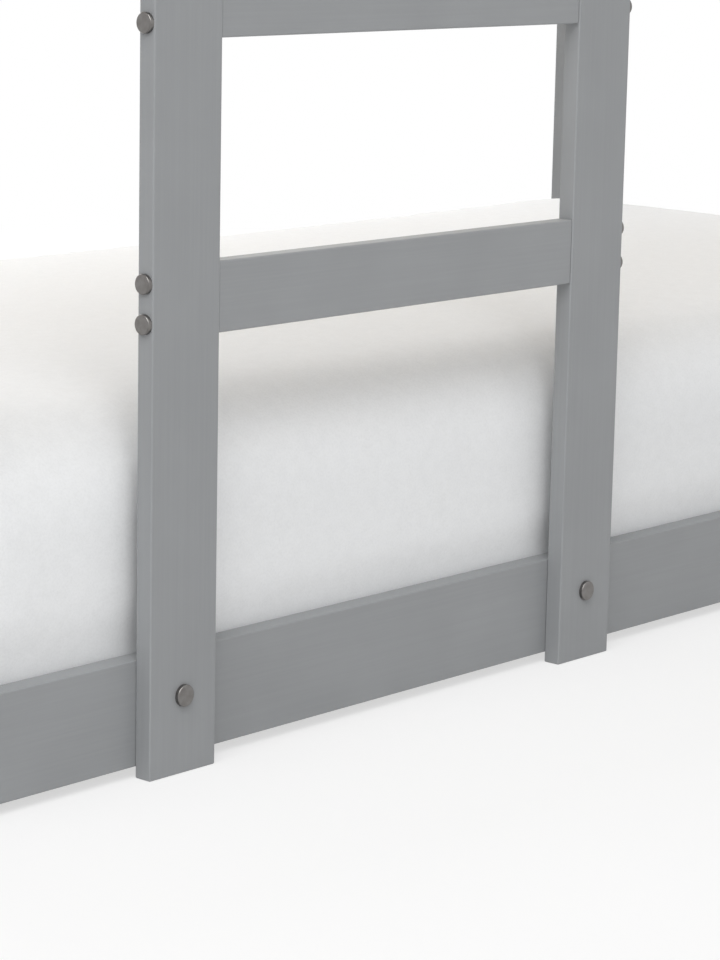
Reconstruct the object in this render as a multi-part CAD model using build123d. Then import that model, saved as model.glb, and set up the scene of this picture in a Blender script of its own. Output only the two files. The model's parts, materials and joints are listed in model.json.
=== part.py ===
from build123d import *
import os

# Loft bed in bunk form: a floor-level lower bed, a raised upper bed, and a ladder on the front.
# X runs along the bed, Y from the ladder side (front) to the wall side (rear), Z up from the floor.
# The origin is on the floor, below the middle of the bed.
os.makedirs("parts", exist_ok=True)

# Mattresses
mattress_length = 2000.0
mattress_width = 900.0
lower_mattress_thickness = 232.0
upper_mattress_thickness = 150.0
mattress_play = 3.0
soft_clearance = 0.4
mattress_edge_radius = 75.0
upper_edge_radius = 30.0
bulge_foot = 8.0
bulge_rise = 60.0

# Boards
upright_width = 80.0
upright_thickness = 18.0
rung_height = 62.0
rung_setback = 1.0
rail_height = 95.0
rail_thickness = 20.0
post_width = 80.0
post_thickness = 38.0
post_height = 1500.0
rail_setback = 1.0
guard_height = 80.0
guard_thickness = 18.0
guard_gap = 65.0
arris_radius = 1.5

# Heights and places
lower_rail_bottom = 10.0
first_rung_top = 444.0
rung_pitch = 250.0
rung_count = 3
ladder_pitch = 568.0
ladder_to_post = 240.0

# Slats and battens
slat_count = 11
slat_width = 95.0
slat_thickness = 15.0
slat_end_play = 2.0
slat_top_below_rail = 25.0
batten_width = 25.0
batten_height = 25.0
batten_end_gap = 30.0

# Fasteners
bolt_radius = 3.0
bolt_hole_play = 0.3
bolt_head_radius = 8.8
bolt_head_height = 4.0
bolt_head_round = 1.2
bolt_past_nut = 8.0
nut_radius = 5.0
nut_length = 13.0
nut_inset = 32.0
nut_edge_cover = 1.0
rung_bolt_edge = 14.0
rail_bolt_edge = 22.0
crossing_offset = 13.0
connector_head_radius = 9.8
connector_rise = 60.0
connector_bite = 14.0
screw_radius = 2.0
screw_head_radius = 4.0
screw_head_height = 2.4
slat_screw_length = 32.0
batten_screw_length = 38.0
batten_screw_count = 7
batten_screw_inset = 60.0

# Derived sizes
inner_length = mattress_length + 2 * mattress_play
inner_width = mattress_width + 2 * mattress_play
half_inner = inner_length / 2
rail_front = upright_thickness
rail_rear = rail_front + 2 * rail_thickness + inner_width
post_front = rail_front - rail_setback
post_rear = rail_rear + rail_setback
y_shift = -post_rear / 2
lower_rail_top = lower_rail_bottom + rail_height
upper_rail_top = first_rung_top + rung_count * rung_pitch
upper_rail_bottom = upper_rail_top - rail_height
ladder_left = -half_inner + ladder_to_post
ladder_right = ladder_left + ladder_pitch
guard_bottoms = [
    upper_rail_top + guard_gap,
    upper_rail_top + 2 * guard_gap + guard_height,
]
slat_gap = (inner_length - slat_count * slat_width) / (slat_count + 1)
hole_radius = bolt_radius + bolt_hole_play

boards = {}
cuts = {}
long_bolts = []
short_bolts = []
connector_screws = []
barrel_nuts = []
wood_screws = []


def add_board(name, x, y, z):
    """A planed board between three pairs of limits, with its arrises slightly rounded."""
    size = Vector(x[1] - x[0], y[1] - y[0], z[1] - z[0])
    centre = Vector(x[0] + x[1], y[0] + y[1], z[0] + z[1]) / 2
    board = Pos(centre) * Box(size.X, size.Y, size.Z)
    boards[name] = fillet(board.edges(), arris_radius)
    cuts[name] = []


def rod(start, direction, length, radius):
    """A round bar, or the hole for one, from a point along an axis."""
    place = Plane(origin=start, z_dir=direction)
    return place * Cylinder(radius, length, align=(Align.CENTER, Align.CENTER, Align.MIN))


def disc_bolt(face_point, direction, length, head_radius):
    """A bolt with a flat round head that stands on a face, and its shank going in."""
    head = rod(face_point, -direction, bolt_head_height, head_radius)
    head_top = face_point - direction * bolt_head_height
    rim = head.edges().filter_by(GeomType.CIRCLE).sort_by_distance(head_top)[0]
    return fillet(rim, bolt_head_round) + rod(face_point, direction, length, bolt_radius)


def wood_screw(face_point, direction, length):
    """A countersunk screw with its head flush in a face."""
    place = Plane(origin=face_point, z_dir=direction)
    head = place * Cone(
        screw_head_radius, screw_radius, screw_head_height, align=(Align.CENTER, Align.CENTER, Align.MIN)
    )
    return head + rod(face_point, direction, length, screw_radius)


def bolt_end(bolts, face_point, direction, through, carrier, board, nut_face, nut_axis):
    """Bolts a board's end grain to the piece beside it, with a barrel nut let into the board's hidden face.

    through is the carrier's thickness along the bolt. nut_axis points into the board from the face
    where the nut's hole starts, and nut_face is that face's place measured along nut_axis."""
    nut_distance = through + nut_inset
    length = nut_distance + bolt_past_nut
    bolts.append(disc_bolt(face_point, direction, length, bolt_head_radius))
    hole = rod(face_point, direction, length, hole_radius)
    cuts[carrier].append(hole)
    cuts[board].append(hole)
    nut_centre = face_point + direction * nut_distance
    mouth = nut_centre + nut_axis * (nut_face - nut_centre.dot(nut_axis))
    cuts[board].append(rod(mouth, nut_axis, nut_edge_cover + nut_length, nut_radius))
    nut = rod(mouth + nut_axis * nut_edge_cover, nut_axis, nut_length, nut_radius)
    barrel_nuts.append(nut - rod(face_point, direction, length + nut_inset, bolt_radius))


def screw_into(face_point, direction, length, pieces):
    """Drives a countersunk screw and cuts its seat in every piece that it passes."""
    screw = wood_screw(face_point, direction, length)
    wood_screws.append(screw)
    for name in pieces:
        cuts[name].append(screw)


def make_posts():
    for side, x_sign in (("left", -1), ("right", 1)):
        x = sorted((x_sign * half_inner, x_sign * (half_inner + post_thickness)))
        add_board(f"front_{side}_post", x, (post_front, post_front + post_width), (0, post_height))
        add_board(f"rear_{side}_post", x, (post_rear - post_width, post_rear), (0, post_height))


def make_side_rails(level, z_bottom):
    """The front and rear rails of one bed, each held to the posts by two bolts an end."""
    z = (z_bottom, z_bottom + rail_height)
    rows = (
        ("front", rail_front, 1, rail_front + rail_thickness),
        ("rear", rail_rear - rail_thickness, -1, rail_rear - rail_thickness),
    )
    for side, y, inward, nut_face in rows:
        name = f"{level}_{side}_rail"
        add_board(name, (-half_inner, half_inner), (y, y + rail_thickness), z)
        for end, x_sign in (("left", -1), ("right", 1)):
            for height in (z[0] + rail_bolt_edge, z[1] - rail_bolt_edge):
                bolt_end(
                    short_bolts,
                    Vector(x_sign * (half_inner + post_thickness), y + rail_thickness / 2, height),
                    Vector(-x_sign, 0, 0),
                    post_thickness,
                    f"{side}_{end}_post",
                    name,
                    nut_face * -inward,
                    Vector(0, -inward, 0),
                )


def make_end_boards(name, z_bottom, height, thickness, bolt_heights):
    """A board across each end of the bed, between the two posts, flush with their inner faces.

    Its bolts cross the side boards' bolts inside the posts, so they lie crossing_offset away from them."""
    y = (post_front + post_width, post_rear - post_width)
    for end, x_sign in (("left", -1), ("right", 1)):
        board = name.format(end=end)
        x = sorted((x_sign * half_inner, x_sign * (half_inner + thickness)))
        add_board(board, x, y, (z_bottom, z_bottom + height))
        for side, face, direction in (("front", post_front, 1), ("rear", post_rear, -1)):
            for bolt_height in bolt_heights:
                bolt_end(
                    long_bolts,
                    Vector(x_sign * (half_inner + thickness / 2), face, bolt_height),
                    Vector(0, direction, 0),
                    post_width,
                    f"{side}_{end}_post",
                    board,
                    half_inner,
                    Vector(x_sign, 0, 0),
                )


def make_base(level, rail_top):
    """The battens screwed inside the side rails and the slats screwed down on them."""
    slat_top = rail_top - slat_top_below_rail
    batten_top = slat_top - slat_thickness
    batten_half = half_inner - batten_end_gap
    inner_front = rail_front + rail_thickness
    inner_rear = rail_rear - rail_thickness
    rows = (
        ("front", inner_front, inner_front + batten_width, -1),
        ("rear", inner_rear - batten_width, inner_rear, 1),
    )
    for side, y_low, y_high, outward in rows:
        batten = f"{level}_{side}_batten"
        add_board(batten, (-batten_half, batten_half), (y_low, y_high), (batten_top - batten_height, batten_top))
        face = y_high if outward < 0 else y_low
        step = 2 * (batten_half - batten_screw_inset) / (batten_screw_count - 1)
        for i in range(batten_screw_count):
            place = Vector(-batten_half + batten_screw_inset + i * step, face, batten_top - batten_height / 2)
            screw_into(place, Vector(0, outward, 0), batten_screw_length, (batten, f"{level}_{side}_rail"))
    for i in range(slat_count):
        slat = f"{level}_slat_{i + 1:02d}"
        left = -half_inner + slat_gap + i * (slat_width + slat_gap)
        y = (inner_front + slat_end_play, inner_rear - slat_end_play)
        add_board(slat, (left, left + slat_width), y, (batten_top, slat_top))
        for side, screw_y in (("front", inner_front + batten_width / 2), ("rear", inner_rear - batten_width / 2)):
            place = Vector(left + slat_width / 2, screw_y, slat_top)
            screw_into(place, Vector(0, 0, -1), slat_screw_length, (slat, f"{level}_{side}_batten"))


def make_guards():
    """Two rows of guard boards on all sides of the upper bed, open between the ladder's uprights."""
    y_front = (rail_front, rail_front + guard_thickness)
    y_rear = (rail_rear - guard_thickness, rail_rear)
    for row, z_bottom in zip(("low", "top"), guard_bottoms):
        z = (z_bottom, z_bottom + guard_height)
        middle = z_bottom + guard_height / 2
        add_board(f"front_left_guard_{row}", (-half_inner, ladder_left + upright_width), y_front, z)
        add_board(f"front_right_guard_{row}", (ladder_right, half_inner), y_front, z)
        add_board(f"rear_guard_{row}", (-half_inner, half_inner), y_rear, z)
        for side, end, x_sign, board in (
            ("front", "left", -1, f"front_left_guard_{row}"),
            ("front", "right", 1, f"front_right_guard_{row}"),
            ("rear", "left", -1, f"rear_guard_{row}"),
            ("rear", "right", 1, f"rear_guard_{row}"),
        ):
            y = y_front if side == "front" else y_rear
            nut_y = Vector(0, -1, 0) if side == "front" else Vector(0, 1, 0)
            nut_face = -y[1] if side == "front" else y[0]
            bolt_end(
                short_bolts,
                Vector(x_sign * (half_inner + post_thickness), (y[0] + y[1]) / 2, middle),
                Vector(-x_sign, 0, 0),
                post_thickness,
                f"{side}_{end}_post",
                board,
                nut_face,
                nut_y,
            )
        make_end_boards("{end}_guard_" + row, z_bottom, guard_height, guard_thickness, (middle + crossing_offset,))


def make_ladder():
    """Two uprights on the rails' front faces, with the rungs bolted between them."""
    held = [("lower_front_rail", lower_rail_bottom + connector_rise)]
    held.append(("upper_front_rail", upper_rail_bottom + connector_rise))
    for side, left in (("left", ladder_left), ("right", ladder_right)):
        upright = f"{side}_ladder_upright"
        add_board(upright, (left, left + upright_width), (0, upright_thickness), (0, post_height))
        guards = [(f"front_{side}_guard_{row}", z + guard_height / 2) for row, z in zip(("low", "top"), guard_bottoms)]
        for board, height in held + guards:
            place = Vector(left + upright_width / 2, 0, height)
            length = upright_thickness + connector_bite
            screw = disc_bolt(place, Vector(0, 1, 0), length, connector_head_radius)
            connector_screws.append(screw)
            cuts[upright].append(screw)
            cuts[board].append(screw)
    inner_left = ladder_left + upright_width
    for i in range(rung_count):
        rung = f"rung_{i + 1}"
        top = first_rung_top + i * rung_pitch
        bottom = top - rung_height
        add_board(rung, (inner_left, ladder_right), (rung_setback, upright_thickness), (bottom, top))
        for height in (bottom + rung_bolt_edge, top - rung_bolt_edge):
            for upright, x, x_sign in (
                ("left_ladder_upright", ladder_left, 1),
                ("right_ladder_upright", ladder_right + upright_width, -1),
            ):
                bolt_end(
                    long_bolts,
                    Vector(x, (rung_setback + upright_thickness) / 2, height),
                    Vector(x_sign, 0, 0),
                    upright_width,
                    upright,
                    rung,
                    -upright_thickness,
                    Vector(0, -1, 0),
                )


def lower_mattress():
    """A deep soft mattress: its foot sits between the rails and its sides swell out over them."""
    bottom = lower_rail_top - slat_top_below_rail
    top = bottom + lower_mattress_thickness
    foot_front = rail_front + rail_thickness + mattress_play
    foot_rear = rail_rear - rail_thickness - mattress_play
    swell_front = rail_front + soft_clearance
    swell_rear = rail_rear - soft_clearance
    swell_bottom = lower_rail_top + bulge_foot
    swell_top = swell_bottom + bulge_rise
    outline = Polyline(
        (foot_front, bottom),
        (foot_rear, bottom),
        (foot_rear, swell_bottom),
        (swell_rear, swell_top),
        (swell_rear, top),
        (swell_front, top),
        (swell_front, swell_top),
        (foot_front, swell_bottom),
        close=True,
    )
    section = Plane.YZ * make_face(outline)
    body = Pos(-mattress_length / 2, 0, 0) * extrude(section, mattress_length, dir=(1, 0, 0))
    return fillet(body.faces().sort_by(Axis.Z)[-1].edges(), mattress_edge_radius)


def upper_mattress():
    """A thinner mattress that lies inside the upper rails and guards."""
    bottom = upper_rail_top - slat_top_below_rail
    middle_y = (rail_front + rail_rear) / 2
    body = Box(mattress_length, mattress_width, upper_mattress_thickness)
    body = fillet(body.edges(), upper_edge_radius)
    return Pos(0, middle_y, bottom + upper_mattress_thickness / 2) * body


def write(name, shape):
    export_step(Pos(0, y_shift, 0) * shape, f"parts/{name}.step")


make_posts()
make_side_rails("lower", lower_rail_bottom)
make_side_rails("upper", upper_rail_bottom)
for level, rail_bottom in (("lower", lower_rail_bottom), ("upper", upper_rail_bottom)):
    bolt_edge = rail_bolt_edge + crossing_offset
    end_bolt_heights = (rail_bottom + bolt_edge, rail_bottom + rail_height - bolt_edge)
    make_end_boards(level + "_{end}_rail", rail_bottom, rail_height, rail_thickness, end_bolt_heights)
make_base("lower", lower_rail_top)
make_base("upper", upper_rail_top)
make_guards()
make_ladder()

for name, board in boards.items():
    write(name, board - cuts[name] if cuts[name] else board)
write("lower_mattress", lower_mattress())
write("upper_mattress", upper_mattress())
for name, solids in (
    ("long_bolts", long_bolts),
    ("short_bolts", short_bolts),
    ("connector_screws", connector_screws),
    ("barrel_nuts", barrel_nuts),
    ("wood_screws", wood_screws),
):
    write(name, Compound([solid.solid() for solid in solids]))
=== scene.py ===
import json
import math

import bmesh
import bpy
import numpy as np
from mathutils import Matrix, Vector, noise


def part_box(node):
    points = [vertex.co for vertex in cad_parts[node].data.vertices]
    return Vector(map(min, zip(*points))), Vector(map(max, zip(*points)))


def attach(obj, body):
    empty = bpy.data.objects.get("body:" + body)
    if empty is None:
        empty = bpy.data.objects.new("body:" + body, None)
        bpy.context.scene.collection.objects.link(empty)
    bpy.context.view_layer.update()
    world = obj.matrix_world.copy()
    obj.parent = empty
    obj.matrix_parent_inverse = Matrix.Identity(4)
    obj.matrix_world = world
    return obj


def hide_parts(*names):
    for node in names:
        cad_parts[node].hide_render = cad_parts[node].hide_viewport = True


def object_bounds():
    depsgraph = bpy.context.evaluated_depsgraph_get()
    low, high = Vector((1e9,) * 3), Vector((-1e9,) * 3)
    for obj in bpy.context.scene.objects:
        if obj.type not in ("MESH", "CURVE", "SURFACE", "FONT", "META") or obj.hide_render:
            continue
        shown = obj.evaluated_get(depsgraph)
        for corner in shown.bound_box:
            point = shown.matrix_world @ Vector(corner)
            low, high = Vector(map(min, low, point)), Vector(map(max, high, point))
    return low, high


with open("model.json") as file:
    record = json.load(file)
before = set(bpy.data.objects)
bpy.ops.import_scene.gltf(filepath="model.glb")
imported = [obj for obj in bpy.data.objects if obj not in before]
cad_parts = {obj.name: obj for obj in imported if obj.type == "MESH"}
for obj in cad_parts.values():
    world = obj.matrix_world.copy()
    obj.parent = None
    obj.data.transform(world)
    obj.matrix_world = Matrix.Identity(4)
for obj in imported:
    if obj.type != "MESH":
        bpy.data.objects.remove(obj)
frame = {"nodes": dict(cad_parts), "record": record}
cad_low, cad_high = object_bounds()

MM = 0.001
scene = bpy.context.scene

# Camera: the picture's focal length in pixels, and the lens point and turns that fit its edges
PICTURE_HEIGHT = 960
FOCAL_PIXELS = 3083.0
SENSOR = 36.0
LENS_POINT = Vector((-2554.0, -2299.4, 777.2)) * MM
YAW, PITCH, ROLL = 48.53, -11.3, 1.17

# Light levels, where 1 lights a facing surface so that it renders as its colour is written
AMBIENT_LEVEL = 0.42
KEY_LEVEL = 0.84
REAR_LEVEL = 0.95

# Lamp places: azimuth and elevation in degrees, distance and size in metres
KEY_ANGLES = (-56, 44)
REAR_ANGLES = (155, 42)
LAMP_DISTANCE = 4.8
LAMP_SIZE = 4.4

# Floor: its size, its grey where it keeps shadows, and its share of plain white near and far
FLOOR_SIZE = 60.0
PAPER_GREY = 0.86
WHITE_NEAR, WHITE_FAR = 0.62, 1.0
FADE_NEAR, FADE_FAR = 1.0, 3.2

# Mattress shaping
VOXEL = 15 * MM
SWELL_CAP = 11 * MM
CONTACT = 0.6 * MM
TUCK_RISE = 105 * MM
BULGE = 8 * MM
DENT_HALF = 50 * MM
DENT_FADE = 190 * MM
COVER_INSET = 4 * MM
LOWER_EDGE_RADIUS = 84 * MM
UPPER_EDGE_RADIUS = 40 * MM
EDGE_SEGMENTS = 10
CLOTH_FRAMES = 20
CLOTH_QUALITY = 5
CLOTH_PRESSURE = 4.0
TUCK_START = 2 * MM
REAR_CLEARANCE = 2 * MM
REAR_BULGE_SHARE = 0.4

# Unevenness of the covers: heights in millimetres, cell sizes in metres
SLOW_HEIGHT = 1.1
SLOW_CELL = (0.21, 0.21, 0.16)
CREASE_HEIGHT = 1.6
CREASE_CELL = (0.035, 0.12, 0.15)
CREASE_SHIFT = 7.0
UPWARD_SHARE = 0.6


def linear(hex_colour):
    """An sRGB hex colour as linear RGBA."""
    parts = [int(hex_colour[i:i + 2], 16) / 255 for i in (1, 3, 5)]
    return tuple(c / 12.92 if c <= 0.04045 else ((c + 0.055) / 1.055) ** 2.4 for c in parts) + (1.0,)


def add_node(tree, kind, settings=None, inputs=None):
    """Adds a shader node with its settings; an input is a value, or another node's output to link."""
    made = tree.nodes.new(kind)
    for key, value in (settings or {}).items():
        setattr(made, key, value)
    for key, value in (inputs or {}).items():
        if isinstance(value, bpy.types.NodeSocket):
            tree.links.new(value, made.inputs[key])
        else:
            made.inputs[key].default_value = value
    return made


def new_material(name):
    """An empty node material with its Principled shader, and the object's own coordinates."""
    material = bpy.data.materials.new(name)
    material.use_nodes = True
    tree = material.node_tree
    shader = tree.nodes["Principled BSDF"]
    place = add_node(tree, "ShaderNodeTexCoord").outputs["Object"]
    return material, tree, shader, place


def stretched(tree, place, sizes_mm, detail=3.0, roughness=0.5):
    """Noise whose cells have the given size along X, Y and Z."""
    scale = tuple(1000.0 / s for s in sizes_mm)
    mapped = add_node(tree, "ShaderNodeMapping", {}, {"Vector": place, "Scale": scale}).outputs["Vector"]
    settings = {"Vector": mapped, "Scale": 1.0, "Detail": detail, "Roughness": roughness}
    return add_node(tree, "ShaderNodeTexNoise", {}, settings).outputs["Fac"]


def blend_colours(tree, factor, low, high, first, second):
    """A ramp from one colour to another between two factor levels."""
    ramp = add_node(tree, "ShaderNodeValToRGB", {}, {"Fac": factor})
    ramp.color_ramp.elements[0].position = low
    ramp.color_ramp.elements[0].color = linear(first)
    ramp.color_ramp.elements[1].position = high
    ramp.color_ramp.elements[1].color = linear(second)
    return ramp.outputs["Color"]


def mixed(tree, kind, factor, a, b):
    """Two colours mixed by a blend type. Inputs 6 and 7 and output 2 are the node's colour sockets."""
    node = add_node(tree, "ShaderNodeMix", {"data_type": "RGBA", "blend_type": kind})
    node.inputs["Factor"].default_value = factor
    tree.links.new(a, node.inputs[6])
    tree.links.new(b, node.inputs[7])
    return node.outputs[2]


def level_between(tree, factor, low, high):
    """A factor remapped to lie between two levels."""
    node = add_node(tree, "ShaderNodeMapRange", {}, {"Value": factor, "To Min": low, "To Max": high})
    return node.outputs["Result"]


def bumped(tree, shader, layers):
    """Stacks bump layers, each a height and its depth in millimetres, on the shader's normal."""
    normal = None
    for height, depth in layers:
        node = add_node(tree, "ShaderNodeBump", {}, {"Height": height, "Strength": 1.0, "Distance": depth * MM})
        if normal is not None:
            tree.links.new(normal, node.inputs["Normal"])
        normal = node.outputs["Normal"]
    tree.links.new(normal, shader.inputs["Normal"])


def along(axis, long_mm, across_mm):
    """Cell sizes for a grain that runs along one axis."""
    return tuple(long_mm if i == axis else across_mm for i in range(3))


def sprayed_paint_on_pine(axis):
    """Grey satin lacquer sprayed on planed pine: even colour, a faint grain telegraphing through,
    and a fine orange peel that breaks up the sheen."""
    material, tree, shader, place = new_material("sprayed_grey_lacquer_on_pine_" + "xyz"[axis])
    grain = stretched(tree, place, along(axis, 160, 2.6), 4.0, 0.6)
    clouds = stretched(tree, place, (90, 90, 90), 2.0)
    # the peel is about 1 mm on the real paint; drawn at 1.8 mm so that it shows
    peel = stretched(tree, place, (1.8, 1.8, 1.8), 2.0)
    streaks = blend_colours(tree, grain, 0.34, 0.66, "#96989A", "#999B9D")
    patches = blend_colours(tree, clouds, 0.35, 0.7, "#F9F9F9", "#FFFFFF")
    tree.links.new(mixed(tree, "MULTIPLY", 1.0, streaks, patches), shader.inputs["Base Color"])
    tree.links.new(level_between(tree, grain, 0.44, 0.56), shader.inputs["Roughness"])
    shader.inputs["IOR"].default_value = 1.48
    bumped(tree, shader, ((grain, 0.02), (peel, 0.03)))
    return material


def planed_pine(axis):
    """Planed unpainted pine: pale honey earlywood, darker latewood lines, open fibres."""
    material, tree, shader, place = new_material("planed_pine_" + "xyz"[axis])
    rings = stretched(tree, place, along(axis, 420, 13), 3.0, 0.45)
    fibres = stretched(tree, place, along(axis, 45, 0.9), 3.0, 0.6)
    figure = blend_colours(tree, rings, 0.40, 0.62, "#EBDDC2", "#D9BE93")
    streaks = blend_colours(tree, fibres, 0.3, 0.75, "#F0EBE2", "#FFFFFF")
    tree.links.new(mixed(tree, "MULTIPLY", 1.0, figure, streaks), shader.inputs["Base Color"])
    tree.links.new(level_between(tree, fibres, 0.55, 0.75), shader.inputs["Roughness"])
    bumped(tree, shader, ((rings, 0.12), (fibres, 0.08)))
    return material


def plated_steel(name, light, dark, roughness):
    """Turned and plated steel: a metal colour with faint cloudy tarnish and fine turning marks."""
    material, tree, shader, place = new_material(name)
    clouds = stretched(tree, place, (6, 6, 6), 3.0)
    marks = stretched(tree, place, (0.9, 0.9, 0.9), 2.0)
    tree.links.new(blend_colours(tree, clouds, 0.35, 0.65, dark, light), shader.inputs["Base Color"])
    tree.links.new(level_between(tree, marks, roughness - 0.06, roughness + 0.1), shader.inputs["Roughness"])
    shader.inputs["Metallic"].default_value = 1.0
    bumped(tree, shader, ((marks, 0.02),))
    return material


def brushed_cotton_cover():
    """Brushed white cotton jersey over foam: matt, slightly fuzzy, with a fine knit and soft mottling."""
    material, tree, shader, place = new_material("brushed_cotton_jersey_cover")
    # the stitches are about 1 mm on the real cover; drawn at 2.2 mm so that they show
    knit = stretched(tree, place, (2.2, 2.2, 2.2), 2.0, 0.6)
    pile = stretched(tree, place, (14, 14, 14), 3.0, 0.55)
    drape = stretched(tree, place, (70, 70, 110), 2.0)
    base = blend_colours(tree, pile, 0.3, 0.7, "#EFF0F1", "#F2F3F4")
    weave = blend_colours(tree, knit, 0.3, 0.6, "#FAFAFA", "#FFFFFF")
    tree.links.new(mixed(tree, "MULTIPLY", 1.0, base, weave), shader.inputs["Base Color"])
    shader.inputs["Roughness"].default_value = 0.92
    shader.inputs["Sheen Weight"].default_value = 0.12
    shader.inputs["Sheen Roughness"].default_value = 0.6
    bumped(tree, shader, ((drape, 1.2), (pile, 0.16), (knit, 0.12)))
    return material


def dress(node_name, material):
    """Gives a kept construction piece its finish."""
    obj = frame["nodes"][node_name]
    if not obj.data.materials:
        obj.data.materials.append(material)
    for i in range(len(obj.data.materials)):
        obj.data.materials[i] = material


def dress_all():
    """Paint or pine along each board's longest side, plating on the fasteners."""
    painted = [sprayed_paint_on_pine(axis) for axis in range(3)]
    pine = [planed_pine(axis) for axis in range(3)]
    metal = {
        "dark_nickel_steel": plated_steel("dark_nickel_plated_steel", "#82807E", "#787573", 0.32),
        "zinc_steel": plated_steel("zinc_plated_steel", "#B9BABC", "#A3A4A8", 0.38),
    }
    for part in frame["record"]["subparts"]:
        name, slot = part["node"], part["material_slot"]
        low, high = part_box(name)
        sides = [high[i] - low[i] for i in range(3)]
        axis = sides.index(max(sides))
        if slot == "grey_painted_wood":
            dress(name, painted[axis])
        elif slot == "bare_pine":
            dress(name, pine[axis])
        elif slot in metal:
            dress(name, metal[slot])


def evaluated_copy(obj):
    """The object's mesh with its modifiers applied."""
    graph = bpy.context.evaluated_depsgraph_get()
    return bpy.data.meshes.new_from_object(obj.evaluated_get(graph))


def apply_modifiers(obj):
    mesh = evaluated_copy(obj)
    obj.modifiers.clear()
    obj.data = mesh


def points_of(mesh):
    values = np.empty(len(mesh.vertices) * 3)
    mesh.vertices.foreach_get("co", values)
    return values.reshape(-1, 3)


def set_points(mesh, points):
    mesh.vertices.foreach_set("co", points.ravel())
    mesh.update()


def foam_block(name, low, high, radius):
    """A block with round edges above and a flat cut base, remeshed to an even net for the cloth."""
    net = bmesh.new()
    root = low - Vector((0, 0, radius))
    bmesh.ops.create_cube(net, size=1.0)
    bmesh.ops.scale(net, vec=high - root, verts=net.verts)
    bmesh.ops.translate(net, vec=(root + high) / 2, verts=net.verts)
    bmesh.ops.bevel(
        net, geom=net.edges[:], offset=radius, segments=EDGE_SEGMENTS, profile=0.5, affect="EDGES", material=-1
    )
    whole = net.verts[:] + net.edges[:] + net.faces[:]
    bmesh.ops.bisect_plane(net, geom=whole, plane_co=low, plane_no=(0, 0, 1), clear_inner=True)
    bmesh.ops.holes_fill(net, edges=net.edges[:], sides=0)
    bmesh.ops.recalc_face_normals(net, faces=net.faces[:])
    mesh = bpy.data.meshes.new(name)
    net.to_mesh(mesh)
    net.free()
    obj = bpy.data.objects.new(name, mesh)
    scene.collection.objects.link(obj)
    remesh = obj.modifiers.new("even_net", "REMESH")
    remesh.mode = "VOXEL"
    remesh.voxel_size = VOXEL
    apply_modifiers(obj)
    return obj


def swell(obj):
    """Blows the cover up a little like a filled pad, and caps how far any point moves."""
    before = points_of(obj.data)
    cloth = obj.modifiers.new("filling", "CLOTH")
    cloth.settings.quality = CLOTH_QUALITY
    cloth.settings.use_pressure = True
    cloth.settings.uniform_pressure_force = CLOTH_PRESSURE
    cloth.settings.effector_weights.gravity = 0.0
    cloth.point_cache.frame_start = 1
    cloth.point_cache.frame_end = CLOTH_FRAMES
    for step in range(1, CLOTH_FRAMES + 1):
        scene.frame_set(step)
    apply_modifiers(obj)
    scene.frame_set(1)
    moved = points_of(obj.data) - before
    length = np.maximum(np.linalg.norm(moved, axis=1, keepdims=True), 1e-9)
    set_points(obj.data, before + moved * np.minimum(1.0, SWELL_CAP / length))


def eased(values):
    """Smooth step from 0 to 1."""
    t = np.clip(values, 0.0, 1.0)
    return t * t * (3 - 2 * t)


def rumple(points, strength):
    """Slow soft unevenness of a cover that isn't stretched quite tight.

    Upright creases are added where strength is high."""
    slow_x, slow_y, slow_z = SLOW_CELL
    crease_x, crease_y, crease_z = CREASE_CELL
    for i, (x, y, z) in enumerate(points):
        slow = noise.noise(Vector((x / slow_x, y / slow_y, z / slow_z)))
        crease = noise.noise(Vector((x / crease_x, y / crease_y, z / crease_z + CREASE_SHIFT)))
        lift = (SLOW_HEIGHT * slow + CREASE_HEIGHT * strength[i] * crease) * MM
        points[i, 2] += lift * UPWARD_SHARE
        points[i, 1] += lift * (1.0 if y > 0 else -1.0)


def shape_lower(obj):
    """Tucks the foot between the rails, lets the sides swell over them, and dents the front at the uprights."""
    front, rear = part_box("lower_front_rail"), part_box("lower_rear_rail")
    slat_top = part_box("lower_slat_01")[1].z
    uprights = [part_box(f"{side}_ladder_upright") for side in ("left", "right")]
    upright_back = uprights[0][1].y
    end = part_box("front_right_post")[0].x
    rail_top = front[1].z
    points = points_of(obj.data)
    near = np.zeros(len(points))
    for low, high in uprights:
        away = np.abs(points[:, 0] - (low.x + high.x) / 2) - DENT_HALF
        near = np.maximum(near, 1 - eased(away / DENT_FADE))
    front_zone = points[:, 1] < 0
    rumple(points, near * front_zone)
    rise = eased((points[:, 2] - rail_top - TUCK_START) / TUCK_RISE)
    height = np.clip((points[:, 2] - rail_top) / (cad_mattress_top - rail_top), 0.0, 1.0)
    swelling = BULGE * np.sin(math.pi * height) * (1 - near)
    foot_front = front[1].y + CONTACT
    face_front = upright_back + CONTACT - swelling
    limit_front = foot_front + (face_front - foot_front) * rise
    foot_rear = rear[0].y - CONTACT
    face_rear = rear[1].y - REAR_CLEARANCE + REAR_BULGE_SHARE * BULGE * np.sin(math.pi * height)
    limit_rear = foot_rear + (face_rear - foot_rear) * rise
    points[:, 1] = np.clip(points[:, 1], limit_front, limit_rear)
    points[:, 0] = np.clip(points[:, 0], CONTACT - end, end - CONTACT)
    points[:, 2] = np.maximum(points[:, 2], slat_top + CONTACT)
    set_points(obj.data, points)


def shape_upper(obj):
    """Keeps the thinner mattress inside its rails and flat on its slats."""
    front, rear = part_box("upper_front_rail"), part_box("upper_rear_rail")
    slat_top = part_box("upper_slat_01")[1].z
    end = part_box("front_right_post")[0].x
    points = points_of(obj.data)
    rumple(points, np.zeros(len(points)))
    points[:, 1] = np.clip(points[:, 1], front[1].y + CONTACT, rear[0].y - CONTACT)
    points[:, 0] = np.clip(points[:, 0], CONTACT - end, end - CONTACT)
    points[:, 2] = np.maximum(points[:, 2], slat_top + CONTACT)
    set_points(obj.data, points)


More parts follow.
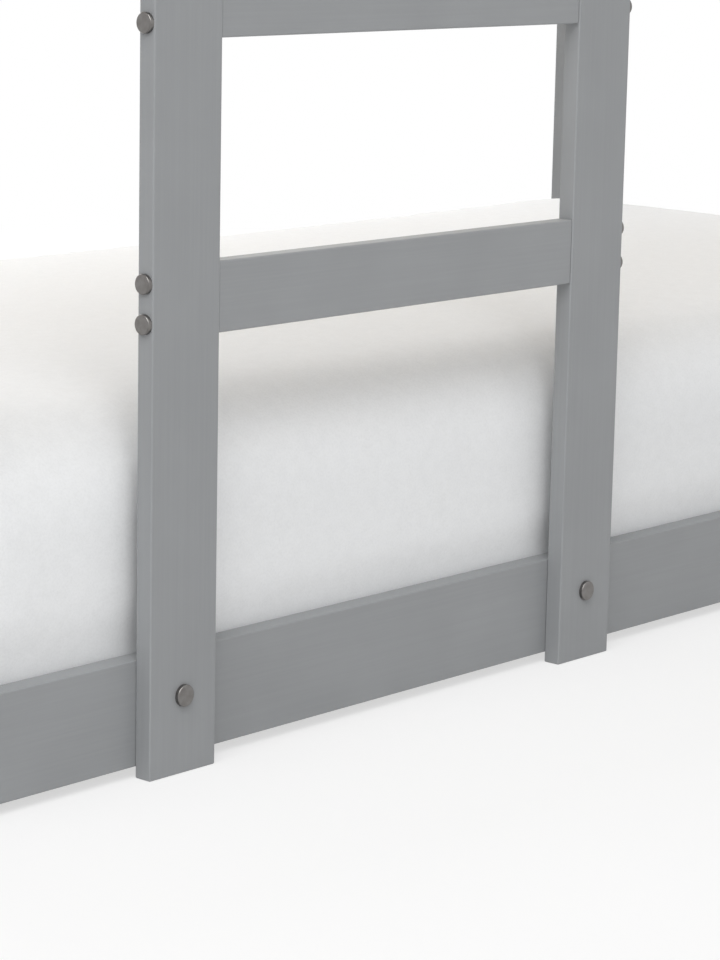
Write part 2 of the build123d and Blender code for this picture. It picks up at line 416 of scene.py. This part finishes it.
def finish_mattress(obj, node_name, body, material):
    for face in obj.data.polygons:
        face.use_smooth = True
    obj.data.materials.clear()
    obj.data.materials.append(material)
    finer = obj.modifiers.new("finer_net", "SUBSURF")
    finer.levels = finer.render_levels = 1
    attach(obj, body)
    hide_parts(node_name)


def make_mattresses():
    cover = brushed_cotton_cover()
    low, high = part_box("lower_mattress")
    inset = Vector((COVER_INSET, COVER_INSET, 0))
    lower = foam_block(
        "lower_mattress_cover", Vector(low) + inset, Vector(high) - inset, LOWER_EDGE_RADIUS
    )
    swell(lower)
    shape_lower(lower)
    finish_mattress(lower, "lower_mattress", "lower_mattress_body", cover)
    low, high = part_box("upper_mattress")
    upper = foam_block(
        "upper_mattress_cover", Vector(low) + inset, Vector(high) - inset, UPPER_EDGE_RADIUS
    )
    swell(upper)
    shape_upper(upper)
    finish_mattress(upper, "upper_mattress", "upper_mattress_body", cover)


def white_for_eye(tree):
    """1 for rays that the camera, a gloss or glass sends, 0 for light that falls on things."""
    path = add_node(tree, "ShaderNodeLightPath")
    first = add_node(tree, "ShaderNodeMath", {"operation": "MAXIMUM"})
    tree.links.new(path.outputs["Is Camera Ray"], first.inputs[0])
    tree.links.new(path.outputs["Is Glossy Ray"], first.inputs[1])
    both = add_node(tree, "ShaderNodeMath", {"operation": "MAXIMUM"})
    tree.links.new(first.outputs[0], both.inputs[0])
    tree.links.new(path.outputs["Is Transmission Ray"], both.inputs[1])
    return both.outputs[0]


def make_studio():
    """A white floor that keeps a soft shadow, a white surround, and two broad lamps."""
    world = bpy.data.worlds.new("studio")
    scene.world = world
    world.use_nodes = True
    tree = world.node_tree
    tree.nodes.clear()
    light = add_node(tree, "ShaderNodeBackground", {}, {"Color": (1, 1, 1, 1), "Strength": AMBIENT_LEVEL})
    shown = add_node(tree, "ShaderNodeBackground", {}, {"Color": (1, 1, 1, 1), "Strength": 1.0})
    mix = add_node(tree, "ShaderNodeMixShader", {}, {0: white_for_eye(tree)})
    tree.links.new(light.outputs[0], mix.inputs[1])
    tree.links.new(shown.outputs[0], mix.inputs[2])
    out = add_node(tree, "ShaderNodeOutputWorld")
    tree.links.new(mix.outputs[0], out.inputs["Surface"])

    net = bmesh.new()
    bmesh.ops.create_grid(net, x_segments=1, y_segments=1, size=FLOOR_SIZE / 2)
    mesh = bpy.data.meshes.new("studio_floor")
    net.to_mesh(mesh)
    net.free()
    floor = bpy.data.objects.new("studio_floor", mesh)
    scene.collection.objects.link(floor)
    material = bpy.data.materials.new("white_studio_paper")
    material.use_nodes = True
    tree = material.node_tree
    tree.nodes.clear()
    paper = add_node(tree, "ShaderNodeBsdfDiffuse", {}, {"Color": (PAPER_GREY, PAPER_GREY, PAPER_GREY, 1)})
    white = add_node(tree, "ShaderNodeEmission", {}, {"Color": (1, 1, 1, 1), "Strength": 1.0})
    place = add_node(tree, "ShaderNodeTexCoord").outputs["Object"]
    away = add_node(tree, "ShaderNodeVectorMath", {"operation": "LENGTH"}, {0: place}).outputs["Value"]
    limits = {
        "Value": away,
        "From Min": FADE_NEAR,
        "From Max": FADE_FAR,
        "To Min": WHITE_NEAR,
        "To Max": WHITE_FAR,
    }
    fade = add_node(tree, "ShaderNodeMapRange", {}, limits).outputs["Result"]
    share = add_node(tree, "ShaderNodeMath", {"operation": "MULTIPLY"}, {0: white_for_eye(tree), 1: fade})
    mix = add_node(tree, "ShaderNodeMixShader", {}, {0: share.outputs[0]})
    tree.links.new(paper.outputs[0], mix.inputs[1])
    tree.links.new(white.outputs[0], mix.inputs[2])
    out = add_node(tree, "ShaderNodeOutputMaterial")
    tree.links.new(mix.outputs[0], out.inputs["Surface"])
    mesh.materials.append(material)
    make_lamp("key_lamp", *KEY_ANGLES, KEY_LEVEL)
    make_lamp("rear_lamp", *REAR_ANGLES, REAR_LEVEL)


def make_lamp(name, azimuth, elevation, level):
    """A broad square lamp that looks at the middle of the bed. Azimuth 0 is in front, positive to the right."""
    a, e = math.radians(azimuth), math.radians(elevation)
    towards = Vector((math.sin(a) * math.cos(e), -math.cos(a) * math.cos(e), math.sin(e)))
    data = bpy.data.lights.new(name, "AREA")
    data.shape = "SQUARE"
    data.size = LAMP_SIZE
    data.energy = level * (math.pi * LAMP_DISTANCE) ** 2
    lamp = bpy.data.objects.new(name, data)
    scene.collection.objects.link(lamp)
    lamp.location = (cad_low + cad_high) / 2 + towards * LAMP_DISTANCE
    lamp.rotation_mode = "QUATERNION"
    lamp.rotation_quaternion = (-towards).to_track_quat("-Z", "Y")


def make_camera():
    yaw, pitch, roll = (math.radians(v) for v in (YAW, PITCH, ROLL))
    forward = Vector((math.sin(yaw) * math.cos(pitch), math.cos(yaw) * math.cos(pitch), math.sin(pitch)))
    level = Vector((math.cos(yaw), -math.sin(yaw), 0.0))
    right = level * math.cos(roll) + level.cross(forward) * math.sin(roll)
    up = right.cross(forward)
    data = bpy.data.cameras.new("camera")
    data.sensor_width = SENSOR
    data.lens = FOCAL_PIXELS / PICTURE_HEIGHT * SENSOR
    data.clip_end = 100.0
    camera = bpy.data.objects.new("camera", data)
    scene.collection.objects.link(camera)
    turned = Matrix((right, up, -forward)).transposed().to_4x4()
    turned.translation = LENS_POINT
    camera.matrix_world = turned
    scene.camera = camera


cad_mattress_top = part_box("lower_mattress")[1].z
make_camera()
make_studio()
dress_all()
make_mattresses()
scene.view_settings.view_transform = "Standard"
